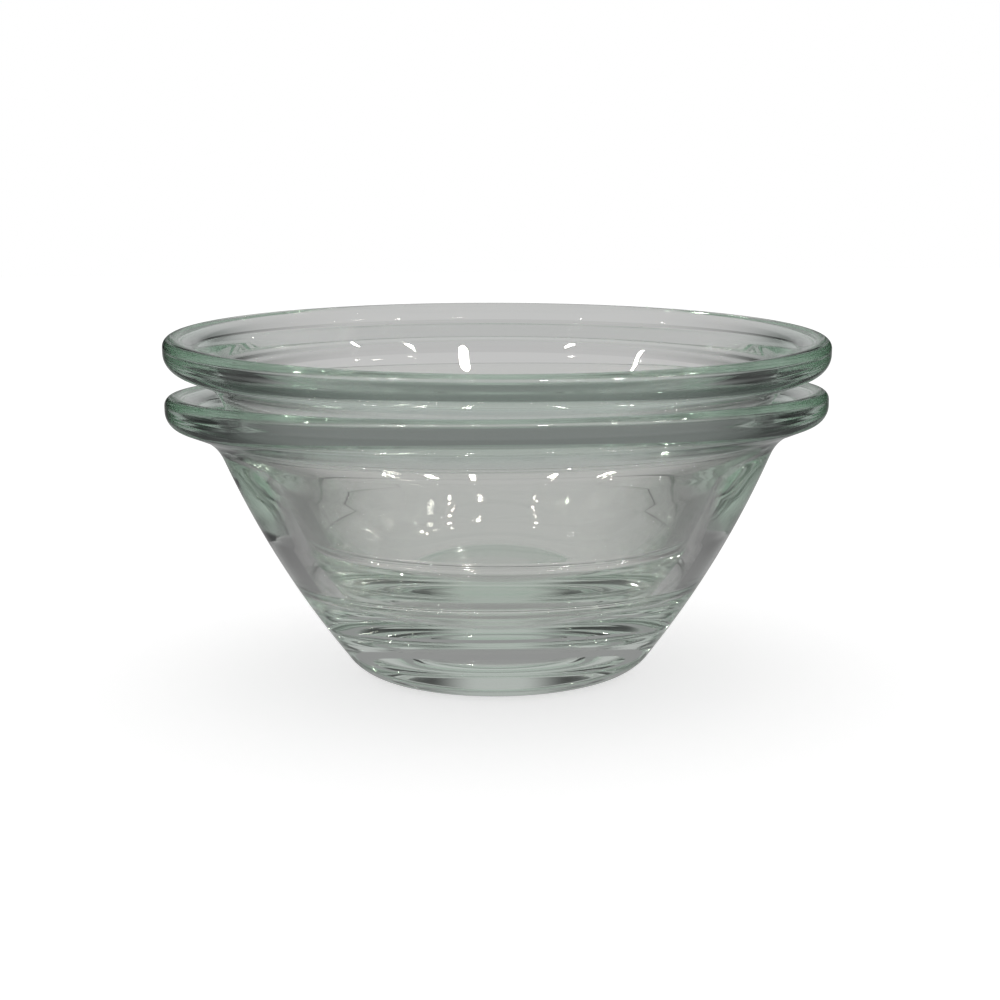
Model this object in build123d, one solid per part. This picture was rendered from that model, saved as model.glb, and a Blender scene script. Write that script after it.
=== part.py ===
"""Two round prep bowls of pressed glass, the upper one nested in the lower one and leaning a little."""
import os
from math import atan2, hypot, radians, sqrt, tan

from build123d import *

# Overall size of one bowl, in millimetres
rim_diameter = 105.0
bowl_height = 45.8
foot_diameter = 44.4        # where the wall would meet the table if the foot were not rounded
wall_thickness = 2.7        # below the flare, above which the wall thins towards the lip
floor_thickness = 6.2
wall_bow_radius = 147.0     # the wall swells outwards on this radius

# The flared lip
lip_overhang = 7.7          # from the outer edge of the lip in to the neck under it
lip_underside_angle = 21.5  # degrees above level, from the neck out to the edge
lip_edge_flat = 0.86        # upright strip left between the two rounded corners of the edge
lip_lower_radius = 3.1
lip_upper_radius = 1.4
lip_top_flat = 0.2          # level strip left on top of the lip
lip_inner_radius = 1.2
fold_inset = 4.6            # from the outer edge in to the fold where the lip turns down into the bowl
fold_drop = 1.3
fold_radius = 2.0
throat_inset = 7.3          # from the outer edge in to the throat, where that slope steepens into the flare
throat_drop = 4.2
throat_radius = 6.0
neck_radius = 6.8

# The inside and the foot
flare_depth = 21.3          # from the top of the lip down to where the inner wall begins to flare
flare_radius = 40.0
cavity_radius = 26.0        # rounding between the floor and the inner wall
foot_radius = 8.0
foot_hollow_diameter = 31.0
foot_hollow_depth = 0.5

# How the upper bowl sits in the lower one
lean_angle = 3.55           # degrees, front edge down
lean_turn = 11.0            # degrees from the front round to the right, to the lowest point of its rim
lean_height = 30.0          # from the underside of its foot up to the point on its axis it leans about
seat_gap = 0.3
seat_precision = 0.002      # how closely the height of the seat is worked out

rim_radius = rim_diameter / 2


def sharp_corners():
    """Corners of the section before rounding, as (radius, height) from the axis and the table."""
    underside = radians(lip_underside_angle)
    lower_tangent = lip_lower_radius * tan((radians(90) - underside) / 2)
    edge_bottom = bowl_height - lip_upper_radius - lip_edge_flat - lower_tangent
    inner_slope = atan2(fold_drop, fold_inset - lip_upper_radius - lip_top_flat)
    lip_land = lip_upper_radius + lip_top_flat + lip_inner_radius * tan(inner_slope / 2)
    return {
        "foot": (foot_diameter / 2, 0),
        "neck": (rim_radius - lip_overhang, edge_bottom - lip_overhang * tan(underside)),
        "edge_bottom": (rim_radius, edge_bottom),
        "edge_top": (rim_radius, bowl_height),
        "lip_inner": (rim_radius - lip_land, bowl_height),
        "fold": (rim_radius - fold_inset, bowl_height - fold_drop),
        "throat": (rim_radius - throat_inset, bowl_height - throat_drop),
    }


def wall_centre(foot, neck):
    """Centre of the arc of wall_bow_radius that runs from the foot to the neck."""
    run = neck[0] - foot[0]
    rise = neck[1] - foot[1]
    chord = hypot(run, rise)
    to_centre = sqrt(wall_bow_radius**2 - (chord / 2) ** 2) / chord
    return (foot[0] + run / 2 - rise * to_centre, foot[1] + rise / 2 + run * to_centre)


def wall_arc(centre, inset, start_height, end_height):
    """Arc of the wall, set in from its outer face, between two heights."""
    radius = wall_bow_radius - inset
    heights = (start_height, (start_height + end_height) / 2, end_height)
    points = [(centre[0] + sqrt(radius**2 - (height - centre[1]) ** 2), height) for height in heights]
    return ThreePointArc(*points)


def round_corner(face, point, radius):
    """Round the corner of a flat face that lies at a point."""
    corner = face.vertices().sort_by_distance(Vector(*point))[0]
    return face.fillet_2d(radius, [corner])


def bowl_section():
    """Half section of the glass, with the axis along Y of the sketch plane."""
    corners = sharp_corners()
    centre = wall_centre(corners["foot"], corners["neck"])
    outer_wall = wall_arc(centre, 0, 0, corners["neck"][1])
    inner_wall = wall_arc(centre, wall_thickness, bowl_height - flare_depth, floor_thickness)
    hollow_edge = (foot_hollow_diameter / 2, 0)
    edges = [
        TangentArc((0, foot_hollow_depth), hollow_edge, tangent=(1, 0)),
        Line(hollow_edge, corners["foot"]),
        outer_wall,
        Line(corners["neck"], corners["edge_bottom"]),
        Line(corners["edge_bottom"], corners["edge_top"]),
        Line(corners["edge_top"], corners["lip_inner"]),
        Line(corners["lip_inner"], corners["fold"]),
        Line(corners["fold"], corners["throat"]),
        Line(corners["throat"], inner_wall @ 0),
        inner_wall,
        Line(inner_wall @ 1, (0, floor_thickness)),
        Line((0, floor_thickness), (0, foot_hollow_depth)),
    ]
    rounding = [
        (corners["foot"], foot_radius),
        (corners["neck"], neck_radius),
        (corners["edge_bottom"], lip_lower_radius),
        (corners["edge_top"], lip_upper_radius),
        (corners["lip_inner"], lip_inner_radius),
        (corners["fold"], fold_radius),
        (corners["throat"], throat_radius),
        (tuple(inner_wall @ 0), flare_radius),
        (tuple(inner_wall @ 1), cavity_radius),
    ]
    section = make_face(edges).face()
    for point, radius in rounding:
        section = round_corner(section, point, radius)
    return section


def leaning_at(rise):
    """Place of a bowl lifted by rise and leaning front edge down."""
    pivot = Pos(0, 0, lean_height)
    return Pos(0, 0, rise) * pivot * Rot(lean_angle, 0, 0) * pivot.inverse()


def seat_rise(section):
    """Least lift at which the leaning bowl clears the lower one by seat_gap, front and back."""
    back_half = Plane.YZ * section
    halves = [back_half, mirror(back_half, about=Plane.XZ)]
    low = 0.0
    high = bowl_height
    while high - low > seat_precision:
        rise = (low + high) / 2
        gap = min((leaning_at(rise) * half).distance_to(half) for half in halves)
        if gap < seat_gap:
            low = rise
        else:
            high = rise
    return high


def main():
    section = bowl_section()
    lower_bowl = revolve(Plane.XZ * section, Axis.Z)
    rise = seat_rise(section)
    upper_bowl = Rot(0, 0, lean_turn) * leaning_at(rise) * lower_bowl
    os.makedirs("parts", exist_ok=True)
    export_step(lower_bowl, "parts/lower_bowl.step")
    export_step(upper_bowl, "parts/upper_bowl.step")
    print(f"rise of the upper bowl {rise:.2f} mm, glass in one bowl {lower_bowl.volume / 1000:.1f} ml")


main()
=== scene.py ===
"""Two nested prep bowls of clear pressed glass on a pale studio floor, seen from the front."""

from functools import partial
from math import pi, radians, sin, sqrt, tan

import bpy
from mathutils import Matrix, Vector


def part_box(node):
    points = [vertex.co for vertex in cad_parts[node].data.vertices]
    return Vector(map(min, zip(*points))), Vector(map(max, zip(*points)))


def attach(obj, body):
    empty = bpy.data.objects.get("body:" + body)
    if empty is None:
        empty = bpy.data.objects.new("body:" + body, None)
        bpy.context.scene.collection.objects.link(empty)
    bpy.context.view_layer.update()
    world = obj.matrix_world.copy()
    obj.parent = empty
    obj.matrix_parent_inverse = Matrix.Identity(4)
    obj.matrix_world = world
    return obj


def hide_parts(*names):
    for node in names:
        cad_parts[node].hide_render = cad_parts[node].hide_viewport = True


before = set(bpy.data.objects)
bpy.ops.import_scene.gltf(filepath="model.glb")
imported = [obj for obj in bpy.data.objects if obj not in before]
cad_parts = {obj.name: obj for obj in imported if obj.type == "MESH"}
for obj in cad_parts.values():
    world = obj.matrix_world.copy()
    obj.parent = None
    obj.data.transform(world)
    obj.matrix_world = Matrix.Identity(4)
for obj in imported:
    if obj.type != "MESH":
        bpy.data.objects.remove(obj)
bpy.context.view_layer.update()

# One bowl, in metres
rim_radius = 0.0525
bowl_height = 0.0458
foot_radius = 0.0222          # where the wall would meet the table if the foot were not rounded
wall_thickness = 0.0027
floor_thickness = 0.0062
wall_bow_radius = 0.147

# The flared lip
lip_overhang = 0.0077
lip_underside_angle = radians(21.5)
lip_edge_flat = 0.00086
lip_lower_radius = 0.0031
lip_upper_radius = 0.0014
lip_top_flat = 0.0002
lip_inner_radius = 0.0012
fold_inset = 0.0046
fold_drop = 0.0013
fold_radius = 0.002
throat_inset = 0.0073
throat_drop = 0.0042
throat_radius = 0.006
neck_radius = 0.0068

# The inside and the foot
flare_depth = 0.0213
flare_radius = 0.04
cavity_radius = 0.026
foot_rounding = 0.008
foot_hollow_radius = 0.0155
foot_hollow_depth = 0.0005

# How the upper bowl leans in the lower one
lean_angle = radians(3.55)
lean_turn = radians(11.0)
lean_height = 0.03

# Fineness of the meshes
turns_round = 320
corner_steps = 12
wall_steps = 40
seed_size = 0.001             # of the plane that is merged to the first point
merge_distance = 1e-6

# The camera, which matches the photo
camera_distance = 0.262
camera_height = 0.06695
camera_side = 0.00038
camera_pitch = 0.1493         # radians, downwards
camera_roll = -0.0094         # radians
camera_focal = 1.629          # focal length over the width of the picture
camera_sensor = 36            # width, in millimetres
camera_near = 0.01            # nothing closer is shown
light_bounces = 128           # enough for two nested bowls

# The glass; each edge from here on is a pair, where a fade starts and where it ends
refraction = 1.52
clear_tint = (0.985, 0.985, 0.978, 1)
# Painted shade: darker and grey-green on the front half of the lip
painted_lip_shade = (0.8, 0.875, 0.835, 1)
painted_lip_shade_edge = (0.044, 0.047)    # from the axis
painted_lip_shade_back = (0.03, 0.0)   # no painted shade at the back of the lip, and all of it at the front
thick_tint = (0.2, 0.7, 0.35, 1)
thick_density = 3.0           # per metre
ripple_scale = (25, 25, 110)  # per metre across, back and up
ripple_depth = 0.00008
ripple_edge = (0.046, 0.043)  # the lip is smooth

# The floor's painted light and shade, greys that only the glass shows
white = (1, 1, 1, 1)
floor_radius = 6.0
floor_sides = 96
floor_albedo = 0.8
floor_glow = 0.6              # makes the lit floor white to the camera
lit_fan_half_width = 0.035        # the painted pool of light behind the bowls, a fan, at its narrow end
lit_fan_spread = 0.3              # widening of that half width with each metre behind
lit_fan_edge = (0.3, 1.7)         # in half widths
lit_fan_greys = (0.56, 0.06)
lit_fan_start = (-0.02, 0.02)
shade_pool_edge = (0.045, 0.11)     # the painted shade round the bowls
shade_pool_greys = (0.215, 0.04)
far_edge = (0.13, 0.25)       # the lighter floor far off
far_bearing = (0.3, 0.0)      # not behind the bowls, but at the sides and in front
far_grey = 0.45
foot_shade_edge = (0.018, 0.03)     # painted shade under the foot
foot_shade_grey = 0.3
axis_guard = 0.001            # keeps a division sound at the axis

# The sky, whose grey only the glass shows, with dark sides low down behind the bowls
sky_grey = 0.5
sky_light = 0.65              # what it sheds on the floor
side_edge = (0.08, 0.32)      # across over back
side_end = (1.6, 0.8)
side_end_share = 0.3          # how much of the dark is left past that end
side_back = (-0.2, 0.2)
side_height = (0.7, 0.42)
side_darkness = 0.95
level_guard = 0.01            # keeps a division sound straight across

# The bulbs that make the glints, each with its length, radius and strength
thin_bulb = (0.1, 0.005, 120)
tall_bulb = (0.1, 0.012, 120)
round_bulb = (0.06, 0.03, 120)
soft_bulb = (0.14, 0.09, 14)

# Where they hang: degrees from the front to the right, and degrees above level
lamps = (
    (77, 43, thin_bulb),
    (48, 47, thin_bulb),
    (19, 49, tall_bulb),
    (-39, 49, thin_bulb),
    (-78, 43, thin_bulb),
    (75, 40, round_bulb),
    (46, 44, round_bulb),
    (18, 47, round_bulb),
    (-38, 46, round_bulb),
    (-76, 40, round_bulb),
    (62, 37, soft_bulb),
)
lamp_colour = (1, 0.97, 0.9, 1)
lamp_centre = Vector((0, 0.038, 0.05))    # middle of their ring, at the far inner wall of the upper bowl
lamp_distance = 1.5


def rounded_corner(before, corner, after, radius):
    """Points of the arc that rounds a corner between two straight runs."""
    back = (before - corner).normalized()
    ahead = (after - corner).normalized()
    half_angle = back.angle(ahead) / 2
    centre = corner + (back + ahead).normalized() * radius / sin(half_angle)
    start = corner + back * radius / tan(half_angle) - centre
    end = corner + ahead * radius / tan(half_angle) - centre
    sweep = end.angle_signed(start)
    turns = [Matrix.Rotation(sweep * step / corner_steps, 2) for step in range(corner_steps + 1)]
    return [centre + turn @ start for turn in turns]


def wall_points(centre, radius, start_height, end_height):
    """Points of a wall face, which is an arc, between two heights."""
    rise = end_height - start_height
    heights = [start_height + rise * step / wall_steps for step in range(wall_steps + 1)]
    return [Vector((centre.x + sqrt(radius**2 - (height - centre.y) ** 2), height)) for height in heights]


def bowl_outline():
    """Half section of one bowl from the axis under the foot round to the axis on the floor inside."""
    lower_tangent = lip_lower_radius * tan((pi / 2 - lip_underside_angle) / 2)
    edge_bottom = bowl_height - lip_upper_radius - lip_edge_flat - lower_tangent
    foot = Vector((foot_radius, 0))
    neck = Vector((rim_radius - lip_overhang, edge_bottom - lip_overhang * tan(lip_underside_angle)))
    edge_low = Vector((rim_radius, edge_bottom))
    edge_top = Vector((rim_radius, bowl_height))
    fold = Vector((rim_radius - fold_inset, bowl_height - fold_drop))
    throat = Vector((rim_radius - throat_inset, bowl_height - throat_drop))
    land = lip_upper_radius + lip_top_flat
    land_tangent = lip_inner_radius * fold_drop / (fold_inset - land) / 2
    land_end = Vector((rim_radius - land - land_tangent, bowl_height))
    chord = neck - foot
    to_centre = sqrt(wall_bow_radius**2 - (chord.length / 2) ** 2) / chord.length
    centre = (foot + neck) / 2 + Vector((-chord.y, chord.x)) * to_centre
    outer = wall_points(centre, wall_bow_radius, 0, neck.y)
    inner = wall_points(centre, wall_bow_radius - wall_thickness, bowl_height - flare_depth, floor_thickness)
    floor_middle = Vector((0, floor_thickness))

    foot_arc = rounded_corner(Vector((0, 0)), foot, outer[1], foot_rounding)
    neck_arc = rounded_corner(outer[-2], neck, edge_low, neck_radius)
    flare_arc = rounded_corner(throat, inner[0], inner[1], flare_radius)
    cavity_arc = rounded_corner(inner[-2], inner[-1], floor_middle, cavity_radius)
    hollow_bow = (foot_hollow_radius**2 + foot_hollow_depth**2) / (2 * foot_hollow_depth)
    hollow = [foot_hollow_radius * step / corner_steps for step in range(corner_steps + 1)]
    outline = [Vector((x, foot_hollow_depth - hollow_bow + sqrt(hollow_bow**2 - x**2))) for x in hollow]
    outline += foot_arc
    outline += [point for point in outer if foot_arc[-1].y < point.y < neck_arc[0].y]
    outline += neck_arc
    outline += rounded_corner(neck, edge_low, edge_top, lip_lower_radius)
    outline += rounded_corner(edge_low, edge_top, land_end, lip_upper_radius)
    outline += rounded_corner(edge_top, land_end, fold, lip_inner_radius)
    outline += rounded_corner(land_end, fold, throat, fold_radius)
    outline += rounded_corner(fold, throat, inner[0], throat_radius)
    outline += flare_arc
    outline += [point for point in inner if cavity_arc[0].y < point.y < flare_arc[-1].y]
    outline += cavity_arc
    outline.append(floor_middle)
    return outline


def spun_bowl(name, outline):
    """A bowl drawn as one edge along its outline and spun round the upright axis."""
    bpy.ops.object.select_all(action="DESELECT")
    bpy.ops.mesh.primitive_plane_add(size=seed_size)
    bowl = bpy.context.object
    bowl.name = name
    bpy.ops.object.mode_set(mode="EDIT")
    bpy.ops.mesh.merge(type="CENTER")
    bpy.ops.transform.translate(value=(outline[0].x, 0, outline[0].y))
    for here, there in zip(outline, outline[1:]):
        step = there - here
        bpy.ops.mesh.extrude_region_move(TRANSFORM_OT_translate={"value": (step.x, 0, step.y)})
    bpy.ops.mesh.select_all(action="SELECT")
    bpy.ops.mesh.spin(steps=turns_round, angle=2 * pi, center=(0, 0, 0), axis=(0, 0, 1))
    bpy.ops.mesh.select_all(action="SELECT")
    bpy.ops.mesh.remove_doubles(threshold=merge_distance)
    bpy.ops.mesh.normals_make_consistent(inside=False)
    bpy.ops.object.mode_set(mode="OBJECT")
    bpy.ops.object.shade_smooth()
    return bowl


def leaning_copy(name, bowl):
    """A second bowl of the same shape, leaning in the first and as high as the CAD bowl it stands for."""
    bpy.ops.object.select_all(action="DESELECT")
    bowl.select_set(True)
    bpy.context.view_layer.objects.active = bowl
    bpy.ops.object.duplicate()
    copy = bpy.context.object
    copy.name = name
    pivot = Matrix.Translation((0, 0, lean_height))
    lean = pivot @ Matrix.Rotation(lean_angle, 4, "X") @ pivot.inverted()
    copy.matrix_world = Matrix.Rotation(lean_turn, 4, "Z") @ lean
    bpy.ops.object.transform_apply()
    top = max(vertex.co.z for vertex in copy.data.vertices)
    copy.location.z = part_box("upper_bowl")[1].z - top
    bpy.ops.object.transform_apply()
    return copy


def maths_node(tree, operation, *values):
    """Output of a new maths node, fed by numbers or by other outputs."""
    node = tree.nodes.new("ShaderNodeMath")
    node.operation = operation
    for socket, value in zip(node.inputs, values):
        if isinstance(value, bpy.types.NodeSocket):
            tree.links.new(value, socket)
        else:
            socket.default_value = value
    return node.outputs["Value"]


def fade_node(tree, value, start, end, first=0.0, last=1.0):
    """Output of a new smooth step from the first level to the last, between start and end."""
    node = tree.nodes.new("ShaderNodeMapRange")
    node.interpolation_type = "SMOOTHSTEP"
    tree.links.new(value, node.inputs["Value"])
    node.inputs["From Min"].default_value = start
    node.inputs["From Max"].default_value = end
    node.inputs["To Min"].default_value = first
    node.inputs["To Max"].default_value = last
    return node.outputs["Result"]


def place_nodes(tree, coordinates):
    """Outputs X, Y and Z of the point or direction that is shaded."""
    place = tree.nodes.new("ShaderNodeTexCoord")
    split = tree.nodes.new("ShaderNodeSeparateXYZ")
    tree.links.new(place.outputs[coordinates], split.inputs["Vector"])
    return split.outputs


def reach_node(tree, place):
    """Output of the distance from the upright axis."""
    squares = [maths_node(tree, "MULTIPLY", place[axis], place[axis]) for axis in ("X", "Y")]
    return maths_node(tree, "SQRT", maths_node(tree, "ADD", *squares))


def ripple_normal(tree, reach):
    """Shallow ripples left by pressing, which end below the lip."""
    place = tree.nodes.new("ShaderNodeTexCoord")
    stretch = tree.nodes.new("ShaderNodeMapping")
    stretch.inputs["Scale"].default_value = ripple_scale
    waves = tree.nodes.new("ShaderNodeTexNoise")
    waves.inputs["Scale"].default_value = 1
    waves.inputs["Detail"].default_value = 1
    bump = tree.nodes.new("ShaderNodeBump")
    bump.inputs["Strength"].default_value = 1
    bump.inputs["Distance"].default_value = ripple_depth
    height = maths_node(tree, "MULTIPLY", waves.outputs["Fac"], fade_node(tree, reach, *ripple_edge))
    tree.links.new(place.outputs["Object"], stretch.inputs["Vector"])
    tree.links.new(stretch.outputs["Vector"], waves.inputs["Vector"])
    tree.links.new(height, bump.inputs["Height"])
    return bump.outputs["Normal"]


def glass_colour_and_lip_shade(tree, reach, back):
    """Clear glass with painted shade, a darker grey-green, along the front of the lip."""
    along_lip = fade_node(tree, reach, *painted_lip_shade_edge)
    in_front = fade_node(tree, back, *painted_lip_shade_back)
    lip_shade_mix = tree.nodes.new("ShaderNodeMix")
    lip_shade_mix.data_type = "RGBA"
    lip_shade_mix.inputs["A"].default_value = clear_tint
    lip_shade_mix.inputs["B"].default_value = painted_lip_shade
    tree.links.new(maths_node(tree, "MULTIPLY", along_lip, in_front), lip_shade_mix.inputs["Factor"])
    return lip_shade_mix.outputs["Result"]


def glass_material():
    """Clear pressed glass, pale green where it is thick, with painted shade along the front of the lip."""
    material = bpy.data.materials.new("pressed_glass")
    material.use_nodes = True
    tree = material.node_tree
    place = place_nodes(tree, "Object")
    reach = reach_node(tree, place)
    glass = tree.nodes["Principled BSDF"]
    glass.inputs["Transmission Weight"].default_value = 1
    glass.inputs["Roughness"].default_value = 0
    glass.inputs["IOR"].default_value = refraction
    tree.links.new(glass_colour_and_lip_shade(tree, reach, place["Y"]), glass.inputs["Base Color"])
    tree.links.new(ripple_normal(tree, reach), glass.inputs["Normal"])
    depth = tree.nodes.new("ShaderNodeVolumeAbsorption")
    depth.inputs["Color"].default_value = thick_tint
    depth.inputs["Density"].default_value = thick_density
    tree.links.new(depth.outputs["Volume"], tree.nodes["Material Output"].inputs["Volume"])
    return material


def floor_painted_light_and_shade(tree):
    """Painted light and shade of the floor in the glass: the lightest of the painted pool of light behind the
    bowls, the painted shade round them and the lighter far floor, with painted shade under the foot.
    """
    maths = partial(maths_node, tree)
    fade = partial(fade_node, tree)
    place = place_nodes(tree, "Object")
    back = place["Y"]
    reach = reach_node(tree, place)
    # Painted pool of light: a fan behind the bowls that widens further back
    half_width = maths("ADD", maths("MULTIPLY", maths("MAXIMUM", back, 0.0), lit_fan_spread), lit_fan_half_width)
    across = maths("DIVIDE", maths("ABSOLUTE", place["X"]), half_width)
    lit_fan = maths("MULTIPLY", fade(across, *lit_fan_edge, *lit_fan_greys), fade(back, *lit_fan_start))
    # Painted shade round the bowls
    shade_pool = fade(reach, *shade_pool_edge, *shade_pool_greys)
    bearing = maths("DIVIDE", back, maths("ADD", reach, axis_guard))
    far = maths("MULTIPLY", fade(reach, *far_edge), fade(bearing, *far_bearing, 0.0, far_grey))
    lightest = maths("MAXIMUM", maths("MAXIMUM", lit_fan, shade_pool), far)
    # Painted shade under the foot, in place of the rest
    around_foot = maths("MULTIPLY", lightest, fade(reach, *foot_shade_edge))
    return maths("ADD", around_foot, fade(reach, *foot_shade_edge, foot_shade_grey, 0.0))


def floor_material():
    """Pale floor, white to the camera, which keeps the shadow of the bowls; in the glass it shows painted
    light and shade in grey.
    """
    material = bpy.data.materials.new("pale_floor")
    material.use_nodes = True
    tree = material.node_tree
    maths = partial(maths_node, tree)
    path = tree.nodes.new("ShaderNodeLightPath")
    in_glass = maths("MAXIMUM", path.outputs["Is Glossy Ray"], path.outputs["Is Transmission Ray"])
    seen_in_glass = maths("MULTIPLY", in_glass, floor_painted_light_and_shade(tree))
    seen_directly = maths("MULTIPLY", path.outputs["Is Camera Ray"], floor_glow)
    albedo = maths("MULTIPLY", maths("SUBTRACT", 1.0, in_glass), floor_albedo)
    surface = tree.nodes["Principled BSDF"]
    surface.inputs["Roughness"].default_value = 1
    surface.inputs["Specular IOR Level"].default_value = 0
    surface.inputs["Emission Color"].default_value = white
    tree.links.new(maths("ADD", seen_in_glass, seen_directly), surface.inputs["Emission Strength"])
    tree.links.new(albedo, surface.inputs["Base Color"])
    return material


def studio_floor():
    """A wide round floor."""
    bpy.ops.object.select_all(action="DESELECT")
    bpy.ops.mesh.primitive_circle_add(vertices=floor_sides, radius=floor_radius, fill_type="NGON")
    floor = bpy.context.object
    floor.name = "floor"
    floor.data.materials.append(floor_material())


def room_grey(tree):
    """Grey of the sky in the glass, which is dark low down behind the bowls, to the left and the right."""
    maths = partial(maths_node, tree)
    fade = partial(fade_node, tree)
    place = place_nodes(tree, "Generated")
    back = place["Y"]
    slant = maths("DIVIDE", maths("ABSOLUTE", place["X"]), maths("ADD", maths("ABSOLUTE", back), level_guard))
    sides = maths("MULTIPLY", fade(slant, *side_edge), fade(slant, *side_end, side_end_share, 1.0))
    sides_behind = maths("MULTIPLY", sides, fade(back, *side_back))
    dark = maths("MULTIPLY", sides_behind, fade(place["Z"], *side_height))
    return maths("SUBTRACT", sky_grey, maths("MULTIPLY", dark, sky_grey * side_darkness))


def studio_world():
    """Light from all round, white to the camera and a grey room in the glass."""
    world = bpy.data.worlds.new("studio")
    bpy.context.scene.world = world
    world.use_nodes = True
    tree = world.node_tree
    maths = partial(maths_node, tree)
    path = tree.nodes.new("ShaderNodeLightPath")
    on_floor = maths("MULTIPLY", path.outputs["Is Diffuse Ray"], sky_light)
    plain = maths("MAXIMUM", path.outputs["Is Camera Ray"], on_floor)
    sky = tree.nodes["Background"]
    sky.inputs["Color"].default_value = white
    tree.links.new(maths("MAXIMUM", room_grey(tree), plain), sky.inputs["Strength"])


def lamp_material(strength):
    """Warm white glow of a lamp, dark to light that has bounced off the floor."""
    material = bpy.data.materials.new("lamp_glow")
    material.use_nodes = True
    material.cycles.emission_sampling = "NONE"
    tree = material.node_tree
    maths = partial(maths_node, tree)
    path = tree.nodes.new("ShaderNodeLightPath")
    before_floor = maths("MAXIMUM", maths("SUBTRACT", 1.0, path.outputs["Diffuse Depth"]), 0.0)
    lamp = tree.nodes["Principled BSDF"]
    lamp.inputs["Emission Color"].default_value = lamp_colour
    tree.links.new(maths("MULTIPLY", before_floor, strength), lamp.inputs["Emission Strength"])
    return material


def room_lamps():
    """Long bulbs in front and above, which only the glass shows."""
    for turn, height, (length, radius, strength) in lamps:
        aim = Matrix.Rotation(radians(turn), 3, "Z") @ Matrix.Rotation(-radians(height), 3, "X")
        bpy.ops.object.select_all(action="DESELECT")
        bpy.ops.mesh.primitive_uv_sphere_add(
            radius=1,
            scale=(length / 2, radius, radius),
            location=lamp_centre + aim @ Vector((0, -lamp_distance, 0)),
            rotation=(0, 0, radians(turn)),
        )
        lamp = bpy.context.object
        lamp.name = "lamp"
        lamp.data.materials.append(lamp_material(strength))
        lamp.visible_camera = False
        lamp.visible_diffuse = False
        lamp.visible_shadow = False


def photo_camera():
    """A camera close in front and a little above, as in the photo."""
    camera = bpy.data.cameras.new("camera")
    camera.sensor_width = camera_sensor
    camera.lens = camera_focal * camera_sensor
    camera.clip_start = camera_near
    holder = bpy.data.objects.new("camera", camera)
    bpy.context.collection.objects.link(holder)
    place = Matrix.Translation((camera_side, -camera_distance, camera_height))
    aim = Matrix.Rotation(pi / 2 - camera_pitch, 4, "X") @ Matrix.Rotation(camera_roll, 4, "Z")
    holder.matrix_world = place @ aim
    bpy.context.scene.camera = holder


def render_quality():
    """Long light paths and plain colours."""
    cycles = bpy.context.scene.cycles
    cycles.use_denoising = True
    cycles.sample_clamp_indirect = 0
    cycles.max_bounces = light_bounces
    cycles.transmission_bounces = light_bounces
    cycles.glossy_bounces = light_bounces
    bpy.context.scene.view_settings.view_transform = "Standard"


lower_bowl = spun_bowl("lower_bowl_glass", bowl_outline())
upper_bowl = leaning_copy("upper_bowl_glass", lower_bowl)
glass = glass_material()
for bowl, node in ((lower_bowl, "lower_bowl"), (upper_bowl, "upper_bowl")):
    bowl.data.materials.append(glass)
    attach(bowl, node)
    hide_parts(node)

studio_floor()
studio_world()
room_lamps()
photo_camera()
render_quality()
